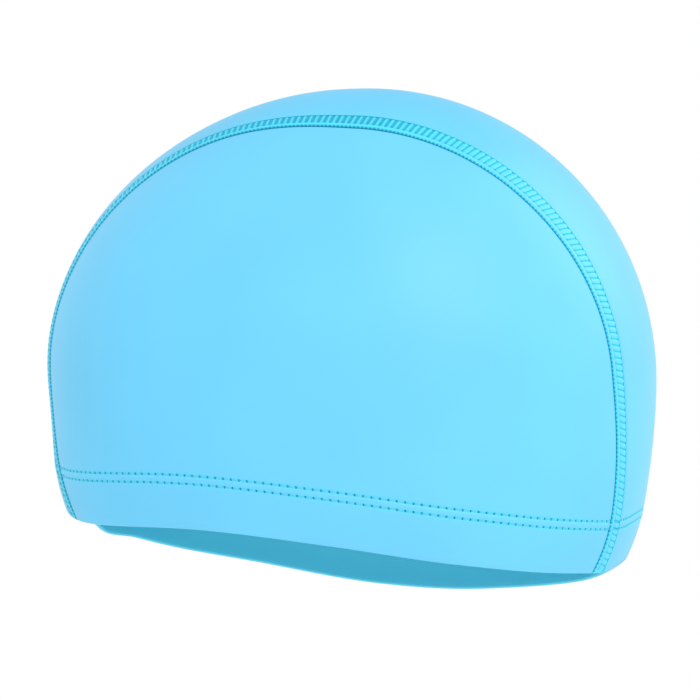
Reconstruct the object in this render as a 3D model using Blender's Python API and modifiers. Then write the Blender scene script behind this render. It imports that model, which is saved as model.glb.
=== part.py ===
"""Swim cap sewn from three stretch-cloth panels, in the shape that it takes on a head.

The origin is where the top of the head touches the inside of the crown.
-Y is the forehead, +Y the nape, +X the wearer's left ear and +Z is up.
Points are worked out from the middle of the cap's widest level, and each piece is placed there.
"""
import math

import bmesh
import bpy
import numpy as np

# Outside sizes of the worn cap, in metres
cap_width = 0.168
cap_length = 0.210
front_length = 0.110        # forehead ahead of the crown's top
crown_height = 0.1015       # crown's top above the widest level
rim_depth = 0.0616          # rim below the widest level, over the left ear
forehead_fullness = 2.4     # power of the front half's plan, where 2 is an ellipse
lower_fullness = 1.85       # power of the wall's curve below the widest level
right_drop = 0.0066         # hem over the right ear, below the one over the left ear
drop_middle = 84            # where it hangs lowest, in degrees from the forehead
drop_reach = 65             # and how many degrees to each side it eases off

# Depths below the widest level at which the wall would close if it went on
ear_taper = 0.240
forehead_taper = 0.140
nape_taper = 0.180

# How far the hem's edge curls in
ear_curl = 0.004
forehead_curl = 0.001
nape_curl = 0.003

# Cloth and sewing
wall = 0.001
hem_height = 0.019          # turned-in layer, from the rim up
seam_reach = 0.0547         # seam from the middle plane, over the crown
seam_width = 0.006          # stitched-down seam allowance, on the centre panel's side
seam_rise = 0.0004          # allowance above the cloth beside it
clearance = 0.0003          # between pieces

# The rim's depth round one side, in shares of rim_depth
rim_table = {
    "angle": (0, 30, 60, 90, 120, 150, 180),        # from the forehead, in degrees
    "depth": (0.76, 0.89, 0.93, 1.00, 1.07, 1.08, 0.97),
}

# The seam's distance from the middle plane, in shares of seam_reach
seam_table = {
    "angle": (-125, -90, -45, 0, 45, 90, 125),      # over the crown, front to back, in degrees
    "reach": (0.76, 0.68, 0.85, 1.00, 0.98, 0.80, 0.64),
}

# Rows and columns of the sheets
hem_rows = 2
side_rows = 10
side_columns = 24
centre_columns = 4
seam_columns = 2

# Colours as seen in daylight, sRGB
cloth_colour = (0.47, 0.84, 0.98)
seam_colour = (0.36, 0.78, 0.93)
lining_colour = (0.28, 0.67, 0.80)
cloth_roughness = 0.55
lining_roughness = 0.85

back_length = cap_length - front_length
half_width = cap_width / 2
crown_rows = side_columns + 2 * side_rows
search_steps = 30           # halvings, down to a millionth of a millimetre
rim_search = (60, 150)      # degrees over the crown, from well above the rim to well below it
small_step = 1e-4           # for slopes, well under a facet
weld_distance = 1e-6


def read_table(table, column, angle):
    """Reads a column at an angle in radians, by a curve through the table's rows."""
    places = np.radians(table["angle"])
    values = np.array(table[column])
    slopes = np.gradient(values, places)
    slopes[[0, -1]] = 0
    angle = np.clip(angle, places[0], places[-1])
    row = np.clip(np.searchsorted(places, angle) - 1, 0, len(places) - 2)
    step = places[row + 1] - places[row]
    t = (angle - places[row]) / step
    start = values[row] * (1 + 2 * t) + slopes[row] * step * t
    end = values[row + 1] * (3 - 2 * t) + slopes[row + 1] * step * (t - 1)
    return start * (1 - t) ** 2 + end * t ** 2


def plan_share(x, y):
    """Gives x and y as a share of the way out to the widest level's outline."""
    behind = y > 0
    end = np.where(behind, back_length, front_length)
    power = np.where(behind, 2.0, forehead_fullness)
    return ((np.abs(x) / half_width) ** power + (np.abs(y) / end) ** power) ** (1 / power)


def taper(x, y):
    """Depth at which the wall would close, between those at the ears and at the two ends."""
    sideways = x ** 2 / np.maximum(x ** 2 + y ** 2, 1e-12)
    end = np.where(y > 0, nape_taper, forehead_taper)
    return ear_taper * sideways + end * (1 - sideways)


def shell_point(direction):
    """Point of the outside that lies in a direction from the widest level's middle."""
    x, y, z = np.moveaxis(direction, -1, 0)
    tall = np.where(z > 0, crown_height, taper(x, y))
    power = np.where(z > 0, 2.0, lower_fullness)
    far = (plan_share(x, y) ** power + np.abs(z / tall) ** power) ** (1 / power)
    return direction / far[..., None]


def rim_level(x, y):
    """Level of the rim, below the widest level, towards x and y."""
    angle = np.arctan2(np.abs(x), -y)
    return -rim_depth * read_table(rim_table, "depth", angle)


def wall_point(angle, height):
    """Point of the outside at an angle from the forehead and a height above the rim."""
    x, y = np.sin(angle), -np.cos(angle)
    z = rim_level(x, y) + height
    out = (1 - np.abs(z / taper(x, y)) ** lower_fullness) ** (1 / lower_fullness) / plan_share(x, y)
    return np.stack([x * out, y * out, z], axis=-1)


def curled(points):
    """Draws the hem in towards its edge."""
    x, y, z = np.moveaxis(points, -1, 0)
    out = np.maximum(np.hypot(x, y), 1e-6)
    sideways = (x / out) ** 2
    end = np.where(y > 0, nape_curl, forehead_curl)
    curl = ear_curl * sideways + end * (1 - sideways)
    near_edge = np.clip(1 - (z - rim_level(x, y)) / hem_height, 0, 1)
    shrink = 1 - curl * near_edge ** 2 / out
    return np.stack([x * shrink, y * shrink, z], axis=-1)


def hung_lower(points):
    """Lets the right side hang lower towards the hem over its ear."""
    x, y, z = np.moveaxis(points, -1, 0)
    away = np.abs(np.degrees(np.arctan2(np.abs(x), -y)) - drop_middle) / drop_reach
    nearness = (1 + np.cos(math.pi * np.clip(away, 0, 1))) / 2
    low = np.clip(z / rim_level(x, y), 0, 1)
    drop = right_drop * nearness * low ** 2 * (3 - 2 * low)
    return np.stack([x, y, z - np.where(x < 0, drop, 0)], axis=-1)


def point_beside(over, reach):
    """Point of the outside at an angle over the crown and a distance from the middle plane."""
    over, reach = np.broadcast_arrays(over, reach)
    low = np.zeros(over.shape)
    high = np.full(over.shape, math.pi / 2)
    for _ in range(search_steps):
        middle = (low + high) / 2
        across = np.sin(middle)
        direction = np.stack([np.cos(middle), across * np.sin(over), across * np.cos(over)], axis=-1)
        point = shell_point(direction)
        too_far = point[..., 0] > reach
        low = np.where(too_far, middle, low)
        high = np.where(too_far, high, middle)
    return point


def seam_point(over, distance):
    """Point at an angle over the crown and a distance from the seam, measured along the cloth."""
    reach = seam_reach * read_table(seam_table, "reach", over)
    start = point_beside(over, reach)
    trial = point_beside(over, reach + distance)
    along = np.linalg.norm(trial - start, axis=-1)
    return point_beside(over, reach + distance * abs(distance) / along)


def crossings(distance, heights, end):
    """Angles over the crown where a line beside the seam is at heights above the rim."""
    low, high = (np.full(len(heights), math.radians(angle)) for angle in rim_search)
    for _ in range(search_steps):
        middle = (low + high) / 2
        x, y, z = np.moveaxis(seam_point(end * middle, distance), -1, 0)
        still_above = z - rim_level(x, y) > heights
        low = np.where(still_above, middle, low)
        high = np.where(still_above, high, middle)
    return end * middle


def seam_line(distance):
    """Stations of a line beside the left seam, from the front rim over the crown to the back."""
    heights = np.linspace(0, hem_height, hem_rows + 1)
    front = crossings(distance, heights, -1)
    back = crossings(distance, heights, 1)
    over = np.linspace(front[-1], back[-1], crown_rows + 1)[1:-1]
    return seam_point(np.concatenate([front, over, back[::-1]]), distance)


def angle_from_forehead(point):
    return math.atan2(point[0], -point[1])


def to_ear_map(points):
    """Lays points out flat round the ear, by their direction."""
    direction = points / np.linalg.norm(points, axis=-1, keepdims=True)
    far = np.arccos(np.clip(direction[..., 0], -1, 1))
    turn = np.arctan2(direction[..., 1], direction[..., 2])
    return np.stack([far * np.sin(turn), far * np.cos(turn)], axis=-1)


def from_ear_map(flat):
    """Puts points of the flat map back on the outside of the cap."""
    far = np.maximum(np.linalg.norm(flat, axis=-1), 1e-9)
    spread = np.sin(far) / far
    return shell_point(np.stack([np.cos(far), flat[..., 0] * spread, flat[..., 1] * spread], axis=-1))


def filled(bottom, top, start, end):
    """Fills the patch between four edges that share their corners."""
    u = np.linspace(0, 1, len(bottom))[None, :, None]
    v = np.linspace(0, 1, len(start))[:, None, None]
    across = (1 - u) * start[:, None] + u * end[:, None]
    upwards = (1 - v) * bottom[None] + v * top[None]
    low_corners = (1 - u) * bottom[0] + u * bottom[-1]
    high_corners = (1 - u) * top[0] + u * top[-1]
    return across + upwards - (1 - v) * low_corners - v * high_corners


def side_panel_rows():
    """Left side panel: hem rows that follow the rim, then a patch up to the seam."""
    edge = seam_line(clearance / 2)
    heights = np.linspace(0, hem_height, hem_rows + 1)
    hem = []
    for row, height in enumerate(heights):
        first = angle_from_forehead(edge[row])
        last = angle_from_forehead(edge[-1 - row])
        hem.append(wall_point(np.linspace(first, last, side_columns + 1), height))
    arch = edge[hem_rows:len(edge) - hem_rows]
    corner = side_rows
    flat = filled(
        bottom=to_ear_map(hem[-1]),
        top=to_ear_map(arch[corner:len(arch) - corner]),
        start=to_ear_map(arch[:corner + 1]),
        end=to_ear_map(arch[::-1][:corner + 1]),
    )
    return np.concatenate([np.array(hem), from_ear_map(flat[1:])])


def seam_rows():
    """Left seam allowance: a strip beside the seam, as long as the side panel's edge."""
    inner = clearance / 2 - seam_width
    distances = np.linspace(inner, -clearance / 2, seam_columns + 1)
    return np.stack([seam_line(distance) for distance in distances], axis=1)


def centre_panel_rows():
    """Left half of the centre panel, from the front rim over the crown to the back rim."""
    edge = seam_line(-clearance / 2 - seam_width)
    shares = np.linspace(0, 1, centre_columns + 1)
    heights = np.linspace(0, hem_height, hem_rows + 1)
    front, back = [], []
    for row, height in enumerate(heights):
        front_angle = angle_from_forehead(edge[row])
        back_angle = angle_from_forehead(edge[-1 - row])
        front.append(wall_point(front_angle * shares, height))
        back.append(wall_point(math.pi + (back_angle - math.pi) * shares, height))
    first, last = front[-1], back[-1]
    front_over = np.arctan2(first[:, 1], first[:, 2])
    back_over = np.arctan2(last[:, 1], last[:, 2])
    rows = []
    for row in range(1, crown_rows):
        along = row / crown_rows
        over = front_over + (back_over - front_over) * along
        front_share = first[:, 0] / first[-1, 0]
        back_share = last[:, 0] / last[-1, 0]
        share = front_share + (back_share - front_share) * along
        rows.append(point_beside(over, share * edge[hem_rows + row, 0]))
    return np.array(front + rows + back[::-1])


def hem_facing_rows(side, centre):
    """Left half of the turned-in layer, behind the hem rows of the panels."""
    heights = np.linspace(0, hem_height, hem_rows + 1)
    rows = []
    for row, height in enumerate(heights):
        line = np.concatenate([centre[row], side[row], centre[-1 - row][::-1]])
        angle = np.arctan2(line[:, 0], -line[:, 1])
        here = curled(wall_point(angle, height))
        round_rim = curled(wall_point(angle + small_step, height)) - here
        upwards = curled(wall_point(angle, height + small_step)) - here
        outwards = np.cross(round_rim, upwards)
        outwards /= np.linalg.norm(outwards, axis=-1, keepdims=True)
        behind = here - outwards * (wall + clearance)
        behind[[0, -1], 0] = 0
        rows.append(behind)
    return np.array(rows)


def linear(colour):
    return [((c + 0.055) / 1.055) ** 2.4 if c > 0.04045 else c / 12.92 for c in colour] + [1]


def make_material(name, colour, roughness):
    material = bpy.data.materials.new(name)
    material.use_nodes = True
    shader = material.node_tree.nodes["Principled BSDF"]
    shader.inputs["Base Color"].default_value = linear(colour)
    shader.inputs["Roughness"].default_value = roughness
    shader.inputs["Metallic"].default_value = 0
    material.diffuse_color = linear(colour)
    return material


def make_sheet(name, rows, collection, material):
    """Makes a grid and puts its corners on the points, with a ring's two ends welded."""
    row_count, column_count = rows.shape[0] - 1, rows.shape[1] - 1
    work = bmesh.new()
    bmesh.ops.create_grid(work, x_segments=column_count, y_segments=row_count, size=1)
    for vertex in work.verts:
        column = round((vertex.co.x + 1) / 2 * column_count)
        row = round((vertex.co.y + 1) / 2 * row_count)
        vertex.co = rows[row, column]
    bmesh.ops.remove_doubles(work, verts=work.verts, dist=weld_distance)
    mesh = bpy.data.meshes.new(name)
    work.to_mesh(mesh)
    work.free()
    mesh.shade_smooth()
    mesh.materials.append(material)
    piece = bpy.data.objects.new(name, mesh)
    piece.location = (0, 0, wall - crown_height)
    collection.objects.link(piece)
    return piece


def add_thickness(piece, thickness, above=0.0):
    """Gives a sheet its thickness, a part of it above the sheet and the rest inwards."""
    solidify = piece.modifiers.new("cloth", "SOLIDIFY")
    solidify.thickness = thickness
    solidify.offset = 2 * above / thickness - 1
    solidify.use_quality_normals = True


def right_side(rows):
    """The same rows on the right and hung lower, with columns turned so that they face outwards."""
    return hung_lower(rows[:, ::-1] * (-1, 1, 1))


def build():
    for thing in list(bpy.data.objects):
        bpy.data.objects.remove(thing)
    collection = bpy.data.collections.new("swim_cap")
    bpy.context.scene.collection.children.link(collection)

    flat_side = side_panel_rows()
    flat_centre = centre_panel_rows()
    side = curled(flat_side)
    seam = curled(seam_rows())
    for name, rows in (("side_panel_left", side), ("side_panel_right", right_side(side))):
        panel = make_sheet(name, rows, collection, make_material(name, cloth_colour, cloth_roughness))
        add_thickness(panel, wall)
    for name, rows in (("seam_left", seam), ("seam_right", right_side(seam))):
        strip = make_sheet(name, rows, collection, make_material(name, seam_colour, cloth_roughness))
        add_thickness(strip, wall + seam_rise, above=seam_rise)

    left_centre = curled(flat_centre)
    rows = np.concatenate([right_side(left_centre)[:, :-1], left_centre], axis=1)
    cloth = make_material("centre_panel", cloth_colour, cloth_roughness)
    centre = make_sheet("centre_panel", rows, collection, cloth)
    add_thickness(centre, wall)

    left_facing = hem_facing_rows(flat_side, flat_centre)
    rows = np.concatenate([left_facing, right_side(left_facing)[:, 1:]], axis=1)
    lining = make_material("hem_facing", lining_colour, lining_roughness)
    facing = make_sheet("hem_facing", rows, collection, lining)
    add_thickness(facing, wall)


build()
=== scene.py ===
import math

import bpy
import numpy as np
from mathutils import Matrix, Vector


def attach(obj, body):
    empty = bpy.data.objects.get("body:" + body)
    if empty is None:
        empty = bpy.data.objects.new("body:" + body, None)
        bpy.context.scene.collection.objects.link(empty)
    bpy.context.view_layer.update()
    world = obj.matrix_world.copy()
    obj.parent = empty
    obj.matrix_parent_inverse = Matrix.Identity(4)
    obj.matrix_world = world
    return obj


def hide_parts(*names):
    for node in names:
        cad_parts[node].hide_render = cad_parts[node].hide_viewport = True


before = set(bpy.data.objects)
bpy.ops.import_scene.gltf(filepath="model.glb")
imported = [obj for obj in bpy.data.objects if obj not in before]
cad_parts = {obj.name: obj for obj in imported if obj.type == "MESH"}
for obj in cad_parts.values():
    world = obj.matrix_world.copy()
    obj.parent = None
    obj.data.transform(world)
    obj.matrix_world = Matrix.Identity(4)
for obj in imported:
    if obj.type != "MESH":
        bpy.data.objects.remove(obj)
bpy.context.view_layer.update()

scene = bpy.context.scene
mm = 0.001
smallStep = 1e-4  # for slopes
halvings = 30  # in each search for a place
weldDistance = 0.02 * mm
mirrorWeldDistance = 0.05 * mm

# The worn cap's form, the same as its solids have
capForm = {
    "halfWidth": 84 * mm,
    "frontLength": 110 * mm,
    "backLength": 100 * mm,
    "crownHeight": 101.5 * mm,
    "rimDepth": 61.6 * mm,
    "foreheadFullness": 2.4,
    "lowerFullness": 1.85,
    "rightDrop": 7.0 * mm,  # hem over the right ear, below the one over the left ear
    "dropMiddle": 84,
    "dropReach": 72,
    "foreheadDrop": 3.4 * mm,  # hem beside the right seam's front end
    "foreheadDropMiddle": 16,
    "foreheadDropReach": 7,
    "napeDrop": 1.7 * mm,  # hem beside the left seam's back end
    "napeDropMiddle": 163,
    "napeDropReach": 8,
    "earTaper": 240 * mm,
    "foreheadTaper": 140 * mm,
    "napeTaper": 180 * mm,
    "earCurl": 4 * mm,
    "foreheadCurl": 1 * mm,
    "napeCurl": 2.2 * mm,
    "hemHeight": 19 * mm,
    "hemSearch": (60, 150),  # degrees over the crown between which each end's hem lies
    "seamReach": 54.7 * mm,
    "seamWidth": 6.3 * mm,
    "wall": 1 * mm,
    "cloth": 0.7 * mm,
    "foldRadius": 0.68 * mm,  # half of the hem's two layers
}
# Broad shallow hollows where the stretched cloth lies flatter: towards, reach in degrees and depth
hollows = (
    ((0, -0.62, 0.786), 22, 0.9 * mm),
    ((0.24, -0.957, -0.16), 9, 1.5 * mm),
)
rimTable = {
    "angle": (0, 30, 60, 90, 120, 150, 180),  # from the forehead
    "depth": (0.76, 0.89, 0.93, 1.00, 1.07, 1.08, 0.97),
}
seamTable = {
    "angle": (-125, -90, -45, 0, 45, 90, 125),  # over the crown, front to back
    "reach": (0.76, 0.68, 0.85, 1.00, 0.98, 0.80, 0.64),
}
middleLevel = np.array([0, 0, capForm["wall"] - capForm["crownHeight"]])

# Rows of every sheet in the hem: heights above the rim, closest together at the two rows of stitches
besideStitches = np.array([-0.8, -0.42, -0.2, 0, 0.2, 0.42, 0.8])
hemRowHeights = np.concatenate([
    (2.4, 4, 6, 8, 10, 11.6, 12.9), 14.35 + besideStitches, (15.4, 15.65, 15.9), 16.95 + besideStitches,
    (18.3, 19.2, 20.4)]) * mm
foldAngles = np.radians([96, 84, 70, 55, 40, 25, 10])  # the panels' part of the fold, lowest at 90


def readTable(table, column, angle):
    places = np.radians(table["angle"])
    values = np.array(table[column])
    slopes = np.gradient(values, places)
    slopes[[0, -1]] = 0
    angle = np.clip(angle, places[0], places[-1])
    row = np.clip(np.searchsorted(places, angle) - 1, 0, len(places) - 2)
    step = places[row + 1] - places[row]
    t = (angle - places[row]) / step
    start = values[row] * (1 + 2 * t) + slopes[row] * step * t
    end = values[row + 1] * (3 - 2 * t) + slopes[row + 1] * step * (t - 1)
    return start * (1 - t) ** 2 + end * t ** 2


def unit(vectors):
    return vectors / np.maximum(np.linalg.norm(vectors, axis=-1, keepdims=True), 1e-12)


def bell(distance, width):
    return np.exp(-(distance / width) ** 2)


def planShare(x, y):
    end = np.where(y > 0, capForm["backLength"], capForm["frontLength"])
    power = np.where(y > 0, 2.0, capForm["foreheadFullness"])
    return ((np.abs(x) / capForm["halfWidth"]) ** power + (np.abs(y) / end) ** power) ** (1 / power)


def taper(x, y):
    sideways = x ** 2 / np.maximum(x ** 2 + y ** 2, 1e-12)
    end = np.where(y > 0, capForm["napeTaper"], capForm["foreheadTaper"])
    return capForm["earTaper"] * sideways + end * (1 - sideways)


# Point of the outside in a direction from the widest level's middle
def shellPoint(direction):
    x, y, z = np.moveaxis(direction, -1, 0)
    tall = np.where(z > 0, capForm["crownHeight"], taper(x, y))
    power = np.where(z > 0, 2.0, capForm["lowerFullness"])
    far = (planShare(x, y) ** power + np.abs(z / tall) ** power) ** (1 / power)
    return direction / far[..., None]


def rimLevel(x, y):
    return -capForm["rimDepth"] * readTable(rimTable, "depth", np.arctan2(np.abs(x), -y))


# Point of the outside at an angle from the forehead and a height above the rim
def wallPoint(angle, height):
    x, y = np.sin(angle), -np.cos(angle)
    z = rimLevel(x, y) + height
    power = capForm["lowerFullness"]
    out = (1 - np.abs(z / taper(x, y)) ** power) ** (1 / power) / planShare(x, y)
    return np.stack([x * out, y * out, z], axis=-1)


# The hem draws in towards its edge
def curled(points):
    x, y, z = np.moveaxis(points, -1, 0)
    out = np.maximum(np.hypot(x, y), 1e-6)
    sideways = (x / out) ** 2
    end = np.where(y > 0, capForm["napeCurl"], capForm["foreheadCurl"])
    curl = capForm["earCurl"] * sideways + end * (1 - sideways)
    nearEdge = np.clip(1 - (z - rimLevel(x, y)) / capForm["hemHeight"], 0, 1)
    shrink = 1 - curl * nearEdge ** 2 / out
    return np.stack([x * shrink, y * shrink, z], axis=-1)


# As worn: flatter at the hollows, and lower towards the hem over the right ear and beside the left seam
def asWorn(points):
    flat = points - middleLevel
    direction = unit(np.abs(flat * (1, 0, 0)) + flat * (0, 1, 1))
    for towards, reach, depth in hollows:
        away = np.degrees(np.arccos(np.clip(direction @ unit(np.array(towards)), -1, 1)))
        flat = flat - unit(flat) * (depth * bell(away, reach))[..., None]
    x, y, z = np.moveaxis(flat, -1, 0)
    angle = np.degrees(np.arctan2(np.abs(x), -y))
    away = np.clip(np.abs(angle - capForm["dropMiddle"]) / capForm["dropReach"], 0, 1)
    right = capForm["rightDrop"] * (1 + np.cos(math.pi * away)) / 2
    fromFront = angle - capForm["foreheadDropMiddle"]
    right += capForm["foreheadDrop"] * bell(fromFront, capForm["foreheadDropReach"])
    left = capForm["napeDrop"] * bell(angle - capForm["napeDropMiddle"], capForm["napeDropReach"])
    low = np.clip(z / rimLevel(x, y), 0, 1)
    drop = np.where(x < 0, right, left) * low ** 2 * (3 - 2 * low)
    return flat + middleLevel - drop[..., None] * (0, 0, 1)


# Point at an angle over the crown and a distance from the middle plane
def pointBeside(over, reach):
    over, reach = np.broadcast_arrays(over, reach)
    low, high = np.zeros(over.shape), np.full(over.shape, math.pi / 2)
    for _ in range(halvings):
        middle = (low + high) / 2
        across = np.sin(middle)
        point = shellPoint(np.stack([np.cos(middle), across * np.sin(over), across * np.cos(over)], axis=-1))
        tooFar = point[..., 0] > reach
        low, high = np.where(tooFar, middle, low), np.where(tooFar, high, middle)
    return point


# Point at an angle over the crown and a distance from the seam, measured along the cloth
def seamPoint(over, distance):
    reach = capForm["seamReach"] * readTable(seamTable, "reach", over)
    start = pointBeside(over, reach)
    trial = pointBeside(over, reach + distance)
    along = np.maximum(np.linalg.norm(trial - start, axis=-1), 1e-9)
    return pointBeside(over, reach + distance * abs(distance) / along)


# Angles over the crown where a line beside the seam is at heights above the rim
def crossings(distance, heights, end):
    low, high = (np.full(len(heights), math.radians(angle)) for angle in capForm["hemSearch"])
    for _ in range(halvings):
        middle = (low + high) / 2
        x, y, z = np.moveaxis(seamPoint(end * middle, distance), -1, 0)
        above = z - rimLevel(x, y) > heights
        low, high = np.where(above, middle, low), np.where(above, high, middle)
    return end * middle


# Outward direction of the curled form at its points
def outward(points):
    direction = unit(points)
    helper = np.where(np.abs(direction[..., 2:]) < 0.9, (0.0, 0.0, 1.0), (1.0, 0.0, 0.0))
    along = unit(np.cross(helper, direction))
    upwards = np.cross(direction, along)
    here = curled(shellPoint(direction))
    first = curled(shellPoint(unit(direction + along * smallStep))) - here
    second = curled(shellPoint(unit(direction + upwards * smallStep))) - here
    return unit(np.cross(first, second))


def onCap(points, push):
    return curled(points) + outward(points) * push[..., None] + middleLevel


# Point of the hem. The turn is 0 on the outside, half a circle on the inside, and between them in the fold
def inHem(angle, height, turn, push):
    radius = capForm["foldRadius"]
    flat = wallPoint(angle, np.maximum(height, radius))
    normal = outward(flat)
    here = curled(flat)
    down = curled(wallPoint(angle, np.maximum(height, radius) - smallStep)) - here
    down = unit(down - normal * np.sum(down * normal, axis=-1, keepdims=True))
    swing = normal * np.cos(turn)[..., None] + down * np.sin(turn)[..., None]
    return here - normal * radius + swing * (radius + push[..., None]) + middleLevel


def fromForehead(points):
    return np.arctan2(points[..., 0], -points[..., 1])


# Lengths round the hem, measured between the two rows of stitches
roundAngles = np.linspace(0, math.pi, 2001)
middleLine = curled(wallPoint(roundAngles, 15.65 * mm))
roundLengths = np.concatenate([[0], np.cumsum(np.linalg.norm(np.diff(middleLine, axis=0), axis=1))])


def toLength(angle):
    return np.interp(angle, roundAngles, roundLengths)


def toAngle(length):
    return np.interp(length, roundLengths, roundAngles)


def toEarMap(points):
    direction = unit(points)
    far = np.arccos(np.clip(direction[..., 0], -1, 1))
    turn = np.arctan2(direction[..., 1], direction[..., 2])
    return np.stack([far * np.sin(turn), far * np.cos(turn)], axis=-1)


def fromEarMap(flat):
    far = np.maximum(np.linalg.norm(flat, axis=-1), 1e-9)
    spread = np.sin(far) / far
    return shellPoint(np.stack([np.cos(far), flat[..., 0] * spread, flat[..., 1] * spread], axis=-1))


# Fills the patch between four edges that share their corners
def filledPatch(bottom, top, start, end):
    u = np.linspace(0, 1, len(bottom))[None, :, None]
    v = np.linspace(0, 1, len(start))[:, None, None]
    across = (1 - u) * start[:, None] + u * end[:, None]
    upwards = (1 - v) * bottom[None] + v * top[None]
    lowCorners = (1 - u) * bottom[0] + u * bottom[-1]
    highCorners = (1 - u) * top[0] + u * top[-1]
    return across + upwards - (1 - v) * lowCorners - v * highCorners


def selectOnly(*pieces):
    bpy.ops.object.select_all(action="DESELECT")
    for piece in pieces:
        piece.select_set(True)
    bpy.context.view_layer.objects.active = pieces[0]


# Cuts a flat pattern, splits its rows at the two ends finer, and lays it on the places given.
# Rows between those ends use only every (cuts + 1)th place.
def layCloth(name, places, shade, cuts=0, frontRows=0, backRows=0):
    rowCount, fineCount = places.shape[0] - 1, places.shape[1] - 1
    columnCount = fineCount // (cuts + 1)
    bpy.ops.object.select_all(action="DESELECT")
    bpy.ops.mesh.primitive_grid_add(x_subdivisions=columnCount, y_subdivisions=rowCount, size=2)
    sheet = bpy.context.object
    sheet.name = name
    sheet.data.name = name
    bpy.ops.object.mode_set(mode="EDIT")
    bpy.ops.mesh.select_mode(type="EDGE")
    bpy.ops.transform.translate(value=(1, 1, 0))
    bpy.ops.transform.resize(value=(columnCount / 2, rowCount / 2, 1), center_override=(0, 0, 0))
    bpy.ops.mesh.select_all(action="DESELECT")
    bpy.ops.object.mode_set(mode="OBJECT")
    if cuts:
        corners = np.empty(len(sheet.data.vertices) * 3)
        sheet.data.vertices.foreach_get("co", corners)
        corners = corners.reshape(-1, 3)
        ends = np.empty(len(sheet.data.edges) * 2, dtype=int)
        sheet.data.edges.foreach_get("vertices", ends)
        first, second = corners[ends[0::2]], corners[ends[1::2]]
        level = np.abs(first[:, 1] - second[:, 1]) < 0.1
        nearFront = first[:, 1] < frontRows + 0.1
        nearBack = first[:, 1] > rowCount - backRows - 0.1 if backRows else np.zeros(len(first), bool)
        sheet.data.edges.foreach_set("select", level & (nearFront | nearBack))
        bpy.ops.object.mode_set(mode="EDIT")
        bpy.ops.mesh.subdivide(number_cuts=cuts)
        bpy.ops.object.mode_set(mode="OBJECT")
    corners = np.empty(len(sheet.data.vertices) * 3)
    sheet.data.vertices.foreach_get("co", corners)
    corners = corners.reshape(-1, 3)
    column = np.rint(corners[:, 0] * (cuts + 1)).astype(int)
    row = np.rint(corners[:, 1]).astype(int)
    sheet.data.vertices.foreach_set("co", places[row, column].ravel())
    # Per point: painted shade of holes and grooves, and a brighter tint
    marks = sheet.data.attributes.new("paintedShadeAndTint", "FLOAT", "POINT")
    marks.data.foreach_set("value", shade[row, column])
    sheet.data.update()
    return sheet


def joinCloth(*sheets):
    selectOnly(*sheets)
    bpy.ops.object.join()
    bpy.ops.object.mode_set(mode="EDIT")
    bpy.ops.mesh.select_mode(type="VERT")
    bpy.ops.mesh.select_all(action="SELECT")
    bpy.ops.mesh.remove_doubles(threshold=weldDistance)
    bpy.ops.mesh.normals_make_consistent(inside=False)
    bpy.ops.object.mode_set(mode="OBJECT")
    return sheets[0]


def mirrorHalf(sheet):
    selectOnly(sheet)
    mirror = sheet.modifiers.new("otherHalf", "MIRROR")
    mirror.merge_threshold = mirrorWeldDistance
    bpy.ops.object.modifier_apply(modifier=mirror.name)


# Gives a sheet its wall inwards, with the cloth's back as its second material
def thicken(sheet, thickness, face, back):
    selectOnly(sheet)
    sheet.data.materials.clear()
    sheet.data.materials.append(face)
    sheet.data.materials.append(back)
    wall = sheet.modifiers.new("wall", "SOLIDIFY")
    wall.thickness = thickness
    wall.offset = -1
    wall.use_quality_normals = True
    wall.material_offset = 1
    bpy.ops.object.modifier_apply(modifier=wall.name)
    bpy.ops.object.shade_smooth()


def putOnHead(*pieces):
    for piece in pieces:
        mesh = piece.data
        points = np.empty(len(mesh.vertices) * 3)
        mesh.vertices.foreach_get("co", points)
        mesh.vertices.foreach_set("co", asWorn(points.reshape(-1, 3)).ravel())
        mesh.update()


# A right-hand copy of a left-hand piece
def mirroredCopy(piece, name):
    selectOnly(piece)
    bpy.ops.object.duplicate()
    twin = bpy.context.object
    twin.name = name
    twin.data.name = name
    bpy.ops.object.mode_set(mode="EDIT")
    bpy.ops.mesh.select_all(action="SELECT")
    bpy.ops.transform.mirror(constraint_axis=(True, False, False), center_override=(0, 0, 0))
    bpy.ops.mesh.flip_normals()
    bpy.ops.object.mode_set(mode="OBJECT")
    return twin


# Lengths along the cloth, for the knit: beside the ear's middle on a side, over the crown on the rest
def layPatternMap(piece, overCrown):
    mesh = piece.data
    points = np.empty(len(mesh.vertices) * 3)
    mesh.vertices.foreach_get("co", points)
    points = points.reshape(-1, 3) - middleLevel
    if overCrown:
        over = np.arctan2(points[:, 1], points[:, 2])
        flat = np.stack([points[:, 0], over * capForm["frontLength"]], axis=-1)
    else:
        flat = toEarMap(points * (np.sign(points[:, 0].mean()), 1, 1)) * capForm["frontLength"]
    loops = np.empty(len(mesh.loops), dtype=int)
    mesh.loops.foreach_get("vertex_index", loops)
    layer = mesh.uv_layers.active or mesh.uv_layers.new(name="pattern")
    layer.name = "pattern"
    layer.data.foreach_set("uv", flat[loops].ravel())


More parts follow.
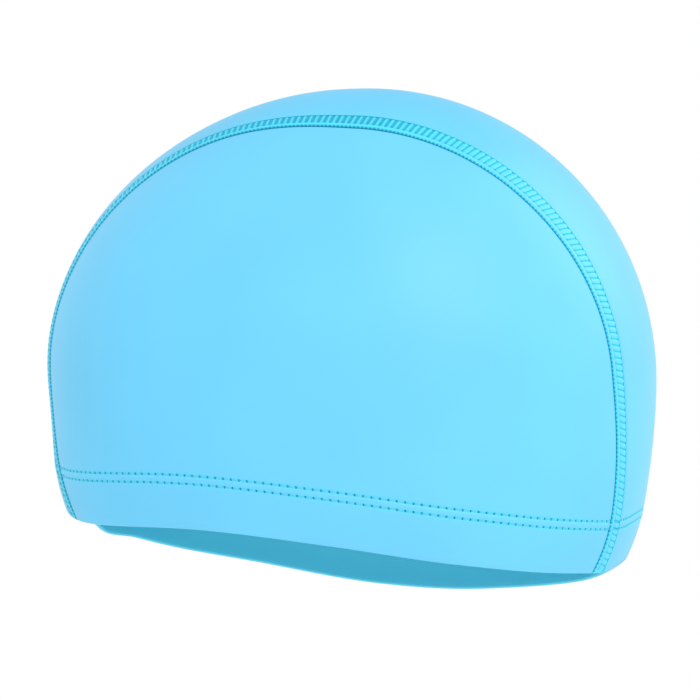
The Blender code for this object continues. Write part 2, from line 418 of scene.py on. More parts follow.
# Colours and finishes, sRGB as seen in daylight
finishes = {
    "cloth": (0.405, 0.812, 0.98),
    "brightTint": (0.25, 0.88, 0.985),  # brighter, greener tint of the seam band and stitch rows, and a painted highlight in a ring round each hole
    # painted shade in the grooves, rungs and ditch
    "sunk": (0.10, 0.70, 0.84),
    # painted shade in the needle holes
    "hole": (0.04, 0.53, 0.65),
    "back": (0.43, 0.88, 0.97),
    "hemThread": (0.37, 0.84, 0.97),
    "ladderThread": (0.21, 0.755, 0.895),
    "clothRoughness": 0.42,
    "backRoughness": 0.85,
    "threadRoughness": 0.6,
    "clothGloss": 0.6,
    "backGloss": 0.15,
    "threadGloss": 0.3,
    "toneScale": 20,
    "toneShares": (0.985, 1.012),
    "grainScale": 2600,
    "grainHeight": 0.05 * mm,
    "stitchStops": (0.3, 0.6, 0.95),  # of the shade attribute: bright tint, painted shade of grooves, painted shade of holes
    "knitScales": (("X", 950), ("Y", 1150)),
    "knitShares": (0.98, 1.03),
    "knitHeight": 0.06 * mm,
    "fibreScale": 4000,
    "fibreShares": (0.93, 1.05),
}


def linear(colour):
    return [((c + 0.055) / 1.055) ** 2.4 if c > 0.04045 else c / 12.92 for c in colour] + [1]


# Two tones of a colour, as shares of it
def setTones(ramp, colour, shares):
    for element, share in zip(ramp.color_ramp.elements, shares):
        element.color = linear([min(c * share, 1) for c in colour])


def newMaterial(name, roughness, specular):
    material = bpy.data.materials.new(name)
    material.use_nodes = True
    nodes, links = material.node_tree.nodes, material.node_tree.links
    shader = nodes["Principled BSDF"]
    shader.inputs["Roughness"].default_value = roughness
    shader.inputs["Specular IOR Level"].default_value = specular
    return material, nodes, links, shader


# Smooth coated jersey: faint broad variation and a very fine grain. The shade attribute takes it to a
# brighter tint and on to painted shade, darker in the grooves and darkest in the needle holes
def coatedCloth(name):
    material, nodes, links, shader = newMaterial(name, finishes["clothRoughness"], finishes["clothGloss"])
    place = nodes.new("ShaderNodeTexCoord")
    broad = nodes.new("ShaderNodeTexNoise")
    broad.inputs["Scale"].default_value = finishes["toneScale"]
    broad.inputs["Detail"].default_value = 1
    links.new(place.outputs["Object"], broad.inputs["Vector"])
    tone = nodes.new("ShaderNodeValToRGB")
    tone.color_ramp.elements[0].position = 0.3
    tone.color_ramp.elements[1].position = 0.7
    setTones(tone, finishes["cloth"], finishes["toneShares"])
    links.new(broad.outputs["Fac"], tone.inputs["Fac"])
    marks = nodes.new("ShaderNodeAttribute")
    marks.attribute_name = "paintedShadeAndTint"
    tintAndPaintedShade = nodes.new("ShaderNodeValToRGB")
    brightTint, sunk, hole = finishes["stitchStops"]
    tintAndPaintedShade.color_ramp.elements[0].position = brightTint
    tintAndPaintedShade.color_ramp.elements[0].color = linear(finishes["brightTint"])
    tintAndPaintedShade.color_ramp.elements[1].position = hole
    tintAndPaintedShade.color_ramp.elements[1].color = linear(finishes["hole"])
    tintAndPaintedShade.color_ramp.elements.new(sunk).color = linear(finishes["sunk"])
    links.new(marks.outputs["Fac"], tintAndPaintedShade.inputs["Fac"])
    amount = nodes.new("ShaderNodeMapRange")
    amount.inputs["From Max"].default_value = brightTint
    links.new(marks.outputs["Fac"], amount.inputs["Value"])
    mix = nodes.new("ShaderNodeMix")
    mix.data_type = "RGBA"
    links.new(amount.outputs["Result"], mix.inputs["Factor"])
    links.new(tone.outputs["Color"], mix.inputs["A"])
    links.new(tintAndPaintedShade.outputs["Color"], mix.inputs["B"])
    links.new(mix.outputs["Result"], shader.inputs["Base Color"])
    grain = nodes.new("ShaderNodeTexNoise")
    grain.inputs["Scale"].default_value = finishes["grainScale"]
    grain.inputs["Detail"].default_value = 3
    links.new(place.outputs["Object"], grain.inputs["Vector"])
    bump = nodes.new("ShaderNodeBump")
    bump.inputs["Strength"].default_value = 0.2
    bump.inputs["Distance"].default_value = finishes["grainHeight"]
    links.new(grain.outputs["Fac"], bump.inputs["Height"])
    links.new(bump.outputs["Normal"], shader.inputs["Normal"])
    return material


# Knitted back: ribs a third of a millimetre apart, crossed by rows of loops
def knittedBack(name, colour):
    material, nodes, links, shader = newMaterial(name, finishes["backRoughness"], finishes["backGloss"])
    pattern = nodes.new("ShaderNodeUVMap")
    pattern.uv_map = "pattern"
    both = nodes.new("ShaderNodeMath")
    both.operation = "MULTIPLY"
    for number, (direction, scale) in enumerate(finishes["knitScales"]):
        bands = nodes.new("ShaderNodeTexWave")
        bands.bands_direction = direction
        bands.inputs["Scale"].default_value = scale
        bands.inputs["Distortion"].default_value = 0.5
        links.new(pattern.outputs["UV"], bands.inputs["Vector"])
        links.new(bands.outputs["Fac"], both.inputs[number])
    tone = nodes.new("ShaderNodeValToRGB")
    setTones(tone, colour, finishes["knitShares"])
    bump = nodes.new("ShaderNodeBump")
    bump.inputs["Strength"].default_value = 0.25
    bump.inputs["Distance"].default_value = finishes["knitHeight"]
    links.new(both.outputs["Value"], tone.inputs["Fac"])
    links.new(tone.outputs["Color"], shader.inputs["Base Color"])
    links.new(both.outputs["Value"], bump.inputs["Height"])
    links.new(bump.outputs["Normal"], shader.inputs["Normal"])
    return material


# Spun polyester thread
def spunThread(name, colour):
    material, nodes, links, shader = newMaterial(name, finishes["threadRoughness"], finishes["threadGloss"])
    place = nodes.new("ShaderNodeTexCoord")
    fibres = nodes.new("ShaderNodeTexNoise")
    fibres.inputs["Scale"].default_value = finishes["fibreScale"]
    tone = nodes.new("ShaderNodeValToRGB")
    setTones(tone, colour, finishes["fibreShares"])
    links.new(place.outputs["Object"], fibres.inputs["Vector"])
    links.new(fibres.outputs["Fac"], tone.inputs["Fac"])
    links.new(tone.outputs["Color"], shader.inputs["Base Color"])
    return material


clothMaterial = coatedCloth("coatedCloth")
seamMaterial = coatedCloth("seamCloth")
backMaterial = knittedBack("clothBack", finishes["back"])
hemThreadMaterial = spunThread("hemThread", finishes["hemThread"])
ladderThreadMaterial = spunThread("ladderThread", finishes["ladderThread"])

# Photo's view: the camera stands beside the ear, a little behind it and below the rim
view = {
    "azimuth": 97.02,
    "elevation": -7.25,
    "roll": 1.8,
    "distance": 0.81,
    "rightward": -5.55 * mm,
    "upward": 10.4 * mm,
    "focalPixels": 2334,
    "imagePixels": 700,
    "sensor": 36,
}


def addCamera():
    across, above = math.radians(view["azimuth"]), math.radians(view["elevation"])
    back = Vector((math.sin(across) * math.cos(above), -math.cos(across) * math.cos(above), math.sin(above)))
    right = Vector((0, 0, 1)).cross(back).normalized()
    upward = back.cross(right)
    roll = math.radians(view["roll"])
    right, upward = (right * math.cos(roll) + upward * math.sin(roll),
                     upward * math.cos(roll) - right * math.sin(roll))
    place = (Vector(middleLevel) + back * view["distance"]
             + right * view["rightward"] + upward * view["upward"])
    bpy.ops.object.camera_add(location=place)
    camera = bpy.context.object
    camera.name = "photoCamera"
    turn = Matrix((right, upward, back)).transposed().to_4x4()
    camera.matrix_world = Matrix.Translation(place) @ turn
    camera.data.sensor_width = view["sensor"]
    camera.data.lens = view["focalPixels"] / view["imagePixels"] * view["sensor"]
    camera.data.clip_start = 0.01
    camera.data.dof.use_dof = False
    scene.camera = camera


addCamera()
print("camera set")

# White studio: even white all round and dimmer high up on the far side, with soft lights behind the nape,
# beside the ear and at the floor
studio = {
    "floorLevel": -0.42,
    "floorSize": 6.0,
    "floorWhite": 0.84,
    "floorRoughness": 0.9,
    "floorGloss": 0.1,
    "around": 1.0,
    "farAbove": 0.38,
    "farAboveTowards": (-0.50, 0, 0.87),
    "farAboveFrom": 0.75,  # cosine of its reach
}
softLights = {
    "napeLight": {"towards": (-0.20, 0.76, 0.57), "distance": 1.5, "size": 1.1, "power": 3.7},
    "earLight": {"towards": (0.74, 0.44, 0.50), "distance": 1.5, "size": 0.9, "power": 5.0},
    "floorLight": {"towards": (0, 0, -1), "distance": 0.31, "size": 0.8, "power": 0.4},
}


def addFloor():
    bpy.ops.object.select_all(action="DESELECT")
    bpy.ops.mesh.primitive_plane_add(size=studio["floorSize"], location=(0, 0, studio["floorLevel"]))
    floor = bpy.context.object
    floor.name = "paleFloor"
    material, _, _, shader = newMaterial("paleFloor", studio["floorRoughness"], studio["floorGloss"])
    shader.inputs["Base Color"].default_value = (*[studio["floorWhite"]] * 3, 1)
    floor.data.materials.append(material)


def addSoftLight(name, setting):
    towards = Vector(setting["towards"]).normalized()
    bpy.ops.object.light_add(type="AREA", location=Vector(middleLevel) + towards * setting["distance"])
    light = bpy.context.object
    light.name = name
    light.data.energy = setting["power"]
    light.data.size = setting["size"]
    light.rotation_euler = towards.to_track_quat("Z", "Y").to_euler()
    light.visible_camera = False


def addWorld():
    world = bpy.data.worlds.new("whiteRoom")
    world.use_nodes = True
    nodes, links = world.node_tree.nodes, world.node_tree.links
    direction = nodes.new("ShaderNodeTexCoord")
    along = nodes.new("ShaderNodeVectorMath")
    along.operation = "DOT_PRODUCT"
    along.inputs[1].default_value = studio["farAboveTowards"]
    strength = nodes.new("ShaderNodeMapRange")
    strength.inputs["From Min"].default_value = studio["farAboveFrom"]
    strength.inputs["To Min"].default_value = studio["around"]
    strength.inputs["To Max"].default_value = studio["farAbove"]
    links.new(direction.outputs["Generated"], along.inputs[0])
    links.new(along.outputs["Value"], strength.inputs["Value"])
    nodes["Background"].inputs["Color"].default_value = (1, 1, 1, 1)
    links.new(strength.outputs["Result"], nodes["Background"].inputs["Strength"])
    scene.world = world


addFloor()
addWorld()
for lightName, setting in softLights.items():
    addSoftLight(lightName, setting)
scene.view_settings.view_transform = "Standard"
print("studio lit")

# Hem: two rows of needle holes, with the cloth puffed up a little between them
hemStitch = {
    "rows": (14.35 * mm, 16.95 * mm),  # above the rim
    "columns": (0, 0.25, 0.38, 0.445, 0.5, 0.555, 0.62, 0.75),  # of each stitch, with the hole in its middle
    "holeDepth": 0.5 * mm,
    "holeWidth": 0.31 * mm,
    # painted shade in each needle hole, a painted highlight in the ring round it, and a tint along the rows
    "holeShade": 1.4,
    "haloWidth": 0.55 * mm,
    "haloShade": 0.16,
    "rowSink": 0.16 * mm,
    "rowWidth": 0.5 * mm,
    "rowShade": 0.10,
    "ridge": 0.14 * mm,
    "ridgeWidth": 0.9 * mm,
}


# Places of the columns in a run of stitches, counted in stitches
def stitchColumns(stitches):
    starts = np.arange(stitches)[:, None]
    return np.append((starts + hemStitch["columns"]).ravel(), stitches)


# How far the hem's cloth stands out, and its painted shade in the needle holes with a painted highlight round
# them and a tint along the rows, by distance from the nearest hole and height
def hemRelief(fromHole, height):
    push = hemStitch["ridge"] * bell(height - np.mean(hemStitch["rows"]), hemStitch["ridgeWidth"])
    shade = np.zeros(np.broadcast(fromHole, height).shape)
    for row in hemStitch["rows"]:
        above = height - row
        far = np.hypot(fromHole, above)
        line = bell(above, hemStitch["rowWidth"])
        push = push - hemStitch["holeDepth"] * bell(far, hemStitch["holeWidth"]) - hemStitch["rowSink"] * line
        shade = shade + hemStitch["holeShade"] * bell(far, hemStitch["holeWidth"])
        shade = shade + hemStitch["haloShade"] * bell(far, hemStitch["haloWidth"])
        shade = shade + hemStitch["rowShade"] * line
    return push, np.clip(shade, 0, 1)


# Rows of a hem from the fold up, as heights and turns
hemHeights = np.concatenate([np.zeros(len(foldAngles)), hemRowHeights])
hemTurns = np.concatenate([foldAngles, np.zeros(len(hemRowHeights))])
edgeHeights = np.maximum(hemHeights, capForm["foldRadius"])
hemTop = len(hemHeights) - 1

sidePanel = {
    "stitches": 80,  # along the hem
    "cuts": 3,
    "crownRows": 60,
    "border": np.array([1.4, 1.0, 0.7, 0.45, 0.28, 0.14, 0.0, -0.15, -0.5]) * mm,
    "grooveDepth": 0.38 * mm,
    "grooveWidth": 0.42 * mm,
    "grooveShade": 0.8,
    "grooveClear": 0.2,
    "borderFromHole": 1 * mm,
}


# The ditch beside the seam: sunk, with painted shade in its bottom
def grooveRelief(distance):
    sunk = bell(np.maximum(distance, 0), sidePanel["grooveWidth"])
    dark = np.clip(sunk * sidePanel["grooveShade"] - sidePanel["grooveClear"], 0, 1)
    return -sidePanel["grooveDepth"] * sunk, dark


# A line beside the seam in the hem: its angles from the forehead at one end
def hemEdge(distance, end):
    over = crossings(distance, edgeHeights, end)
    return over, fromForehead(seamPoint(over, distance))


def sidePanelPatch():
    cuts = sidePanel["cuts"]
    columns = stitchColumns(sidePanel["stitches"])
    fineCount = len(columns) - 1
    edge = sidePanel["border"][0]
    frontOver, frontAngle = hemEdge(edge, -1)
    backOver, backAngle = hemEdge(edge, 1)
    share = columns / sidePanel["stitches"]
    lengths = toLength(frontAngle)[:, None] * (1 - share) + toLength(backAngle)[:, None] * share
    fromHole = (columns % 1 - 0.5) * (lengths[0, -1] - lengths[0, 0]) / sidePanel["stitches"]
    push, shade = hemRelief(fromHole[None], hemHeights[:, None])
    crownRows = sidePanel["crownRows"]
    places = np.zeros((hemTop + crownRows + 1, fineCount + 1, 3))
    shades = np.zeros(places.shape[:2])
    turns = np.broadcast_to(hemTurns[:, None], lengths.shape)
    heights = np.broadcast_to(hemHeights[:, None], lengths.shape)
    places[:hemTop + 1] = inHem(toAngle(lengths), heights, turns, push)
    shades[:hemTop + 1] = shade
    topCount = fineCount // (cuts + 1)
    over = np.linspace(frontOver[-1], backOver[-1], topCount + 2 * crownRows + 1)
    arch = seamPoint(over, edge)
    bottom = wallPoint(toAngle(lengths[-1, ::cuts + 1]), hemRowHeights[-1])
    patch = filledPatch(
        bottom=toEarMap(bottom),
        top=toEarMap(arch[crownRows:-crownRows]),
        start=toEarMap(arch[:crownRows + 1]),
        end=toEarMap(arch[::-1][:crownRows + 1]),
    )
    crown = fromEarMap(patch[1:])
    places[hemTop + 1:, ::cuts + 1] = onCap(crown, np.zeros(crown.shape[:2]))
    return layCloth("sidePanelLeft", places, shades, cuts, hemTop, 0), over


# The panel's edge dips into the seam and ends under the strip
def sidePanelBorder(over):
    columns, shades = [], []
    for distance in sidePanel["border"]:
        groove, dark = grooveRelief(distance)
        ends = []
        for end in (-1, 1):
            _, angle = hemEdge(distance, end)
            push, shade = hemRelief(np.full(angle.shape, sidePanel["borderFromHole"]), hemHeights)
            ends.append((inHem(angle, hemHeights, hemTurns, push + groove), np.maximum(shade, dark)))
        first, last = (crossings(distance, edgeHeights[-1:], end)[0] for end in (-1, 1))
        crown = seamPoint(np.linspace(first, last, len(over))[1:-1], distance)
        crown = onCap(crown, np.full(len(crown), groove))
        columns.append(np.concatenate([ends[0][0], crown, ends[1][0][::-1]]))
        shades.append(np.concatenate([ends[0][1], np.full(len(crown), dark), ends[1][1][::-1]]))
    return layCloth("sidePanelBorder", np.stack(columns, axis=1), np.stack(shades, axis=1))


def makeSidePanel():
    panel, over = sidePanelPatch()
    joinCloth(panel, sidePanelBorder(over))
    thicken(panel, capForm["cloth"], clothMaterial, backMaterial)
    return panel


sidePanelLeft = makeSidePanel()
sidePanelRight = mirroredCopy(sidePanelLeft, "sidePanelRight")
putOnHead(sidePanelLeft, sidePanelRight)
for panel, node in ((sidePanelLeft, "side_panel_left"), (sidePanelRight, "side_panel_right")):
    layPatternMap(panel, overCrown=False)
    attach(panel, "root")
    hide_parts(node)
print("side panels", len(sidePanelLeft.data.polygons))

# Centre panel: half of it, from the middle plane to the seam strip, with the same hem at both ends
centrePanel = {
    "stitches": 18,  # in half of a hem end
    "cuts": 3,
    "crownRows": 170,
    "tuck": 0.35 * mm,  # its edge goes under the strip
    "tuckSink": 0.25 * mm,
}


def makeCentrePanel():
    stitches, cuts, crownRows = centrePanel["stitches"], centrePanel["cuts"], centrePanel["crownRows"]
    columns = stitchColumns(stitches)
    fineCount = len(columns) - 1
    distance = -capForm["seamWidth"] + centrePanel["tuck"]
    share = columns / stitches
    places = np.zeros((2 * hemTop + crownRows + 1, fineCount + 1, 3))
    shades = np.zeros(places.shape[:2])
    tucked = np.zeros(fineCount + 1)
    tucked[-1] = -centrePanel["tuckSink"]
    ends = {}
    for end, middle in ((-1, 0), (1, math.pi)):
        over, angle = hemEdge(distance, end)
        lengths = toLength(middle) + (toLength(angle) - toLength(middle))[:, None] * share
        fromHole = (columns % 1 - 0.5) * abs(lengths[0, -1] - lengths[0, 0]) / stitches
        push, shade = hemRelief(fromHole[None], hemHeights[:, None])
        turns = np.broadcast_to(hemTurns[:, None], lengths.shape)
        heights = np.broadcast_to(hemHeights[:, None], lengths.shape)
        laid = inHem(toAngle(lengths), heights, turns, push + tucked)
        laid[:, 0, 0] = 0
        rows = slice(0, hemTop + 1) if end < 0 else slice(places.shape[0] - 1, hemTop + crownRows - 1, -1)
        places[rows] = laid
        shades[rows] = shade
        ends[end] = (over[-1], wallPoint(toAngle(lengths[-1, ::cuts + 1]), hemRowHeights[-1]))
    (frontOver, first), (backOver, last) = ends[-1], ends[1]
    edge = seamPoint(np.linspace(frontOver, backOver, crownRows + 1), distance)
    firstOver, lastOver = (np.arctan2(line[:, 1], line[:, 2]) for line in (first, last))
    along = np.linspace(0, 1, crownRows + 1)[1:-1, None]
    over = firstOver + (lastOver - firstOver) * along
    reach = first[:, 0] / first[-1, 0] * (1 - along) + last[:, 0] / last[-1, 0] * along
    crown = pointBeside(over, reach * edge[1:-1, :1])
    crown = onCap(crown, np.broadcast_to(tucked[::cuts + 1], crown.shape[:2]))
    crown[:, 0, 0] = 0
    places[hemTop + 1:hemTop + crownRows, ::cuts + 1] = crown
    panel = layCloth("centrePanel", places, shades, cuts, hemTop, hemTop)
    mirrorHalf(panel)
    joinCloth(panel)
    thicken(panel, capForm["cloth"], clothMaterial, backMaterial)
    return panel


centrePiece = makeCentrePanel()
putOnHead(centrePiece)
layPatternMap(centrePiece, overCrown=True)
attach(centrePiece, "root")
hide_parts("centre_panel")
print("centre panel", len(centrePiece.data.polygons))

# Seam: the panels' allowance as a raised strip, smooth beside the ditch and laddered on its far side
seamStrip = {
    "columns": -np.array([0.02, 0.1, 0.2, 0.32, 0.5, 0.8, 1.15, 1.4, 1.6, 1.75, 1.9, 2.1, 2.5, 3.0, 3.6, 4.2,
                          4.8, 5.2, 5.45, 5.6, 5.75, 5.95, 6.2, 6.5]) * mm,
    "rise": 0.42 * mm,
    "edgeSink": 0.3 * mm,
    "edgeWidth": 0.4 * mm,
    "ladderRise": 0.24 * mm,
    "ladderSlope": 0.5 * mm,
    "fadeWidth": 0.7 * mm,
    "fadeSink": 0.12 * mm,
    "rows": (-1.75 * mm, -5.6 * mm),
    "pitch": 2.1 * mm,
    "rowsPerRung": 8,
    "slant": 1.05 * mm,
    "wideShare": 0.30,
    "wideMiddle": 28,  # degrees behind the crown
    "wideReach": 42,
    "rungDepth": 0.16 * mm,
    "rungWidth": 0.58 * mm,
    "rungOverlap": 0.2 * mm,
    "rungSlope": 0.3 * mm,
    "holeDepth": 0.30 * mm,
    "holeWidth": 0.34 * mm,
    # Colour marks: a tint on the band; painted shade in the rungs, needle holes, along the outer edge and in
    # the ditch, where the bites break it into dots; a tint where the hem's rows cross
    "bandShade": 0.27,
    "bandPower": 3,
    "rungShade": 0.62,
    "holeShade": 0.45,
    "outerShade": 0.42,
    "outerWidth": 0.3 * mm,
    "ditchWidth": 0.3 * mm,
    "ditchShade": 0.50,
    "biteShade": 0.30,
    "bitesPerRung": 1.5,
    "hemRowShade": 0.30,
    "hemRowWidth": 0.35 * mm,
    "hemRowSink": 0.14 * mm,
    # the ladder's painted marks and the band's tint fade towards the nape, painted light
    "faintFrom": 5,  # degrees behind the crown
    "faintOver": 40,
    "faintShare": 0.45,
    "foldShare": 0.15,  # of its rise at the fold
    "foldReach": 4 * mm,
    "fold": (96, 81, 66, 51, 36, 21, 6),
    "crownRun": 400 * mm,  # for the number of rows over the crown
    "thickness": 1.0 * mm,
}
seamStrip["spacing"] = seamStrip["pitch"] / seamStrip["rowsPerRung"]


# The strip lies flatter and wider behind the crown, where the cap is pulled hardest
def widened(over):
    away = (np.degrees(over) - seamStrip["wideMiddle"]) / seamStrip["wideReach"]
    return 1 + seamStrip["wideShare"] / (1 + away ** 6)


seamRuns = {}  # worked out once for each distance


# The strip's own run of rows: up the hem, over the crown and down again
def seamRun(distance):
    if distance in seamRuns:
        return seamRuns[distance]
    fold = np.radians(seamStrip["fold"])
    hem = np.arange(capForm["foldRadius"], hemRowHeights[-1], seamStrip["spacing"])
    heights = np.concatenate([np.zeros(len(fold)), hem])
    turns = np.concatenate([fold, np.zeros(len(hem))])
    high = np.maximum(heights, capForm["foldRadius"])
    overs = [crossings(distance, high, end) for end in (-1, 1)]
    crownCount = round(seamStrip["crownRun"] / seamStrip["spacing"])
    crown = np.linspace(overs[0][-1], overs[1][-1], crownCount + 1)[1:-1]
    angles = [fromForehead(seamPoint(over, distance)) for over in overs]
    places = seamPoint(crown, distance * widened(crown))
    seamRuns[distance] = heights, turns, angles, places, np.concatenate([overs[0], crown, overs[1][::-1]])
    return seamRuns[distance]


# Places of a line along the strip, for pushes given row by row
def seamLine(distance, push):
    heights, turns, angles, crown, _ = seamRun(distance)
    count = len(heights)
    front = inHem(angles[0], heights, turns, push[:count])
    back = inHem(angles[1], heights, turns, push[::-1][:count])
    return np.concatenate([front, onCap(crown, push[count:count + len(crown)]), back[::-1]])


def lengthsAlong(line):
    return np.concatenate([[0], np.cumsum(np.linalg.norm(np.diff(line, axis=0), axis=1))])


flatRun = np.zeros(len(seamRun(0.0)[4]))
seamLengths = lengthsAlong(seamLine(-4 * mm, flatRun))
ladderPitch = seamLengths[-1] / round(seamLengths[-1] / seamStrip["pitch"])


# Distance along the strip from the nearest rung or hole, at a distance across it
def fromRung(distance):
    inner, outer = seamStrip["rows"]
    lean = seamStrip["slant"] * (distance - inner) / (outer - inner)
    return (seamLengths - lean + ladderPitch / 2) % ladderPitch - ladderPitch / 2


# How strongly the ladder's marks and the band's tint show: painted fainter towards the nape, painted light
# standing for how the light falls there
def ladderPaintedLightFade():
    over = np.degrees(seamRun(0.0)[4])
    behind = np.clip((over - seamStrip["faintFrom"]) / seamStrip["faintOver"], 0, 1)
    return 1 - seamStrip["faintShare"] * behind


# Relief of the strip, and its colour marks: a tint on the band, and painted shade in the rungs, holes, outer
# edge line and ditch
def stripRelief(distance):
    strip = seamStrip
    away = -distance
    inner, outer = (-row for row in strip["rows"])
    upTo = np.clip(away / strip["edgeWidth"], 0, 1)
    rise = -strip["edgeSink"] + (strip["rise"] + strip["edgeSink"]) * np.sin(upTo * math.pi / 2)
    ladder = np.clip((away - inner) / strip["ladderSlope"] + 1, 0, 1)
    rise -= (strip["rise"] - strip["ladderRise"]) * ladder
    fade = np.clip((away - outer) / strip["fadeWidth"], 0, 1)
    rise -= (strip["ladderRise"] + strip["fadeSink"]) * fade ** 2
    along = fromRung(distance)
    between = np.clip((away - inner + strip["rungOverlap"]) / strip["rungSlope"], 0, 1)
    between = between * np.clip((outer - away + strip["rungOverlap"]) / strip["rungSlope"], 0, 1)
    rung = bell(along, strip["rungWidth"]) * between
    holes = sum(bell(np.hypot(along, distance - row), strip["holeWidth"]) for row in strip["rows"])
    push = rise - strip["rungDepth"] * rung - strip["holeDepth"] * holes
    bite = np.cos(seamLengths / ladderPitch * strip["bitesPerRung"] * 2 * math.pi)
    ditch = bell(away, strip["ditchWidth"]) * (strip["ditchShade"] + strip["biteShade"] * bite)
    tintAndPaintedShade = strip["rungShade"] * rung + strip["holeShade"] * holes
    tintAndPaintedShade = tintAndPaintedShade + strip["outerShade"] * bell(away - outer, strip["outerWidth"])
    strength = ladderPaintedLightFade()
    band = strip["bandShade"] * (1 - fade) * strength ** strip["bandPower"]
    heights = seamRun(distance)[0]
    above = np.full(len(push), 1.0)
    above[:len(heights)], above[len(push) - len(heights):] = heights, heights[::-1]
    hemRows = sum(bell(above - row, strip["hemRowWidth"]) for row in hemStitch["rows"])
    flatter = strip["foldShare"] + (1 - strip["foldShare"]) * np.clip(above / strip["foldReach"], 0, 1)
    push = np.where(push > 0, push * flatter, push) - strip["hemRowSink"] * hemRows
    return push, np.clip(band + tintAndPaintedShade * strength + ditch + strip["hemRowShade"] * hemRows, 0, 1)


def makeSeamStrip():
    lines, shades = [], []
    for distance in seamStrip["columns"][::-1]:
        push, shade = stripRelief(distance)
        lines.append(seamLine(distance, push))
        shades.append(shade)
    strip = layCloth("seamLeft", np.stack(lines, axis=1), np.stack(shades, axis=1))
    joinCloth(strip)
    thicken(strip, seamStrip["thickness"], seamMaterial, backMaterial)
    return strip


seamLeft = makeSeamStrip()
seamRight = mirroredCopy(seamLeft, "seamRight")
putOnHead(seamLeft, seamRight)
for strip, node in ((seamLeft, "seam_left"), (seamRight, "seam_right")):
    layPatternMap(strip, overCrown=True)
    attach(strip, "root")
    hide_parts(node)
print("seams", len(seamLeft.data.polygons))

# Hem facing: the turned-in layer, from the lowest line of the fold up the inside
facing = {
    "columns": 620,  # in one half
    "cloth": 0.55 * mm,
    "fold": (86, 98, 112, 128, 144, 160, 174),
    "startSink": 0.04 * mm,  # where it lies under the panels' part of the fold
    "rowWidth": 0.6 * mm,
}


def makeFacing():
    fold = np.radians(facing["fold"])
    heights = np.concatenate([np.zeros(len(fold)), hemRowHeights[hemRowHeights <= capForm["hemHeight"]]])
    turns = np.concatenate([fold, np.full(len(heights) - len(fold), math.pi)])
    angle = toAngle(np.linspace(0, roundLengths[-1], facing["columns"] + 1))
    angles = np.broadcast_to(angle, (len(heights), len(angle)))
    rows = sum(bell(heights - row, facing["rowWidth"]) for row in hemStitch["rows"])
    push = -hemStitch["rowSink"] * rows
    push[0] = -facing["startSink"]
    push = np.broadcast_to(push[:, None], angles.shape)
    places = inHem(angles, np.broadcast_to(heights[:, None], angles.shape),
                   np.broadcast_to(turns[:, None], angles.shape), push)
    places[:, [0, -1], 0] = 0
    sheet = layCloth("hemFacing", places, np.zeros(places.shape[:2]))
    mirrorHalf(sheet)
    joinCloth(sheet)
    return sheet


hemFacing = makeFacing()
thicken(hemFacing, facing["cloth"], backMaterial, backMaterial)
putOnHead(hemFacing)
layPatternMap(hemFacing, overCrown=True)
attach(hemFacing, "root")
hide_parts("hem_facing")
print("hem facing", len(hemFacing.data.polygons))

# Threads: one tapered stitch, repeated, each copy laid on its own path
threads = {
    "sides": 6,
    "shares": (0, 0.14, 0.38, 0.62, 0.86, 1),  # of a stitch's length
    "radii": (0.06 * mm, 0.12 * mm, 0.14 * mm, 0.14 * mm, 0.12 * mm, 0.06 * mm),
    "spread": 10,  # between copies before they are laid
    "hemPushes": (-0.42 * mm, -0.14 * mm, -0.06 * mm, -0.06 * mm, -0.14 * mm, -0.42 * mm),
    "stripPushes": (-0.10 * mm, 0.10 * mm, 0.17 * mm, 0.17 * mm, 0.10 * mm, -0.10 * mm),
    "overStrip": 0.32 * mm,
    "holesOverStrip": 3,
}


def layStitches(name, material, paths, normals):
    spread, sides = threads["spread"], threads["sides"]
    bpy.ops.object.select_all(action="DESELECT")
    bpy.ops.mesh.primitive_circle_add(vertices=sides, radius=1, fill_type="NGON")
    piece = bpy.context.object
    piece.name = name
    piece.data.name = name
    bpy.ops.object.mode_set(mode="EDIT")
    bpy.ops.mesh.select_all(action="SELECT")
    for _ in threads["shares"][1:]:
        bpy.ops.mesh.extrude_region_move(TRANSFORM_OT_translate={"value": (0, 0, 1)})
    bpy.ops.mesh.select_all(action="SELECT")
    bpy.ops.mesh.normals_make_consistent(inside=False)
    bpy.ops.object.mode_set(mode="OBJECT")
    repeat = piece.modifiers.new("repeat", "ARRAY")
    repeat.count = len(paths)
    repeat.use_relative_offset = False
    repeat.use_constant_offset = True
    repeat.constant_offset_displace = (spread, 0, 0)
    bpy.ops.object.modifier_apply(modifier=repeat.name)
    corners = np.empty(len(piece.data.vertices) * 3)
    piece.data.vertices.foreach_get("co", corners)
    corners = corners.reshape(-1, 3)
    copy = np.rint(corners[:, 0] / spread).astype(int)
    station = np.rint(corners[:, 2]).astype(int)
    along = unit(np.gradient(paths, axis=1))
    side = unit(np.cross(normals, along))
    raised = np.cross(along, side)
    radius = np.array(threads["radii"])[station][:, None]
    across = (corners[:, 0] - copy * spread)[:, None]
    ring = side[copy, station] * corners[:, 1:2] + raised[copy, station] * across
    piece.data.vertices.foreach_set("co", (paths[copy, station] + ring * radius).ravel())
    piece.data.materials.append(material)
    piece.data.update()
    bpy.ops.object.shade_smooth()
    return piece


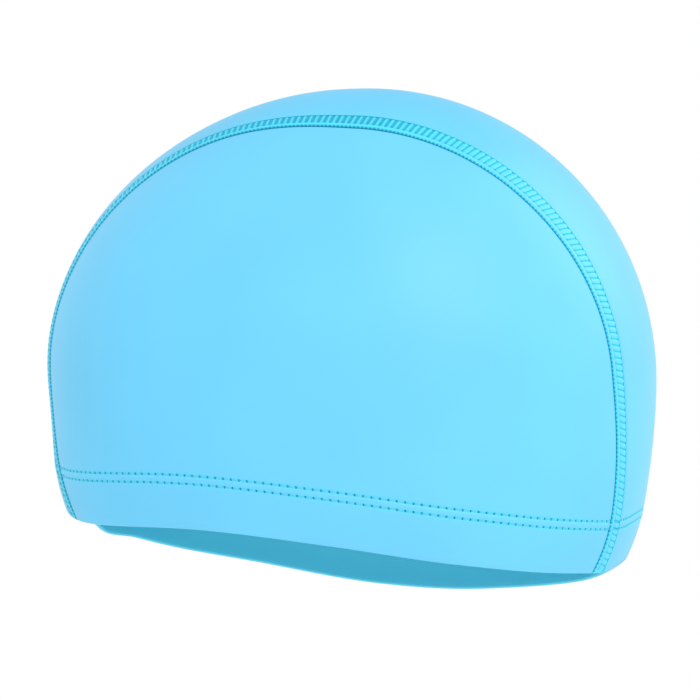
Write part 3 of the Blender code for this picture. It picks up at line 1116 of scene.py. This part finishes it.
# Needle holes of a hem row all round, as lengths from the forehead, and how high the cloth lies there
def holesRound(row):
    def lengthAt(distance, end):
        return toLength(fromForehead(seamPoint(crossings(distance, np.array([row]), end), distance)))[0]

    edge, beyond = sidePanel["border"][0], centrePanel["tuck"] - capForm["seamWidth"]
    total = roundLengths[-1]
    half = (np.arange(centrePanel["stitches"]) + 0.5) / centrePanel["stitches"]
    first = lengthAt(beyond, -1) * half
    last = (total + (lengthAt(beyond, 1) - total) * half)[::-1]
    side = (np.arange(sidePanel["stitches"]) + 0.5) / sidePanel["stitches"]
    side = lengthAt(edge, -1) * (1 - side) + lengthAt(edge, 1) * side
    count = threads["holesOverStrip"]
    frontStrip = np.linspace(first[-1], side[0], count + 2)[1:-1]
    backStrip = np.linspace(side[-1], last[0], count + 2)[1:-1]
    holes = np.concatenate([first, frontStrip, side, backStrip, last])
    raised = np.full(count, threads["overStrip"])
    lift = np.concatenate([0 * first, raised, 0 * side, raised, 0 * last])
    return np.concatenate([holes, 2 * total - holes[::-1]]), np.concatenate([lift, lift[::-1]])


def hemStitches():
    paths, normals = [], []
    total = roundLengths[-1]
    shares = np.array(threads["shares"])
    for row in hemStitch["rows"]:
        holes, lift = holesRound(row)
        following = np.append(holes[1:], holes[0] + 2 * total)
        lengths = (holes[:, None] * (1 - shares) + following[:, None] * shares) % (2 * total)
        angles = toAngle(np.minimum(lengths, 2 * total - lengths))
        angles = np.where(lengths > total, 2 * math.pi - angles, angles)
        heights, turns = np.full(angles.shape, row), np.zeros(angles.shape)
        push = lift[:, None] * (1 - shares) + np.append(lift[1:], lift[0])[:, None] * shares
        push = push + threads["hemPushes"]
        laid = inHem(angles, heights, turns, push)
        paths.append(laid)
        normals.append(unit(inHem(angles, heights, turns, push + smallStep) - laid))
    return np.concatenate(paths), np.concatenate(normals)


# Places on the strip at a distance from the ditch and lengths along it
def onStrip(distance, lengths, push):
    flat = seamLine(distance, flatRun)
    raised = unit(seamLine(distance, flatRun + smallStep) - flat)
    places = np.stack([np.interp(lengths, seamLengths, flat[:, axis]) for axis in range(3)], axis=-1)
    normals = unit(np.stack([np.interp(lengths, seamLengths, raised[:, axis]) for axis in range(3)], axis=-1))
    return places + normals * push, normals


def ladderStitches():
    shares = np.array(threads["shares"])
    inner, outer = seamStrip["rows"]
    starts = ladderPitch * np.arange(1, round(seamLengths[-1] / ladderPitch) - 1)
    rungs = [onStrip(inner + (outer - inner) * share, starts + seamStrip["slant"] * share, push)
             for share, push in zip(shares, threads["stripPushes"])]
    laid = [[np.stack(part, axis=1) for part in zip(*rungs)]]
    for distance, lean in ((inner, 0), (outer, seamStrip["slant"])):
        row = [onStrip(distance, starts + lean + ladderPitch * share, push)
               for share, push in zip(shares, threads["stripPushes"])]
        laid.append([np.stack(part, axis=1) for part in zip(*row)])
    paths, normals = (np.concatenate(parts) for parts in zip(*laid))
    return paths, normals


hemThread = layStitches("hemThread", hemThreadMaterial, *hemStitches())
putOnHead(hemThread)
ladderThreadLeft = layStitches("ladderThreadLeft", ladderThreadMaterial, *ladderStitches())
ladderThreadRight = mirroredCopy(ladderThreadLeft, "ladderThreadRight")
putOnHead(ladderThreadLeft, ladderThreadRight)
for piece in (hemThread, ladderThreadLeft, ladderThreadRight):
    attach(piece, "root")
print("threads", len(hemThread.data.polygons), len(ladderThreadLeft.data.polygons))
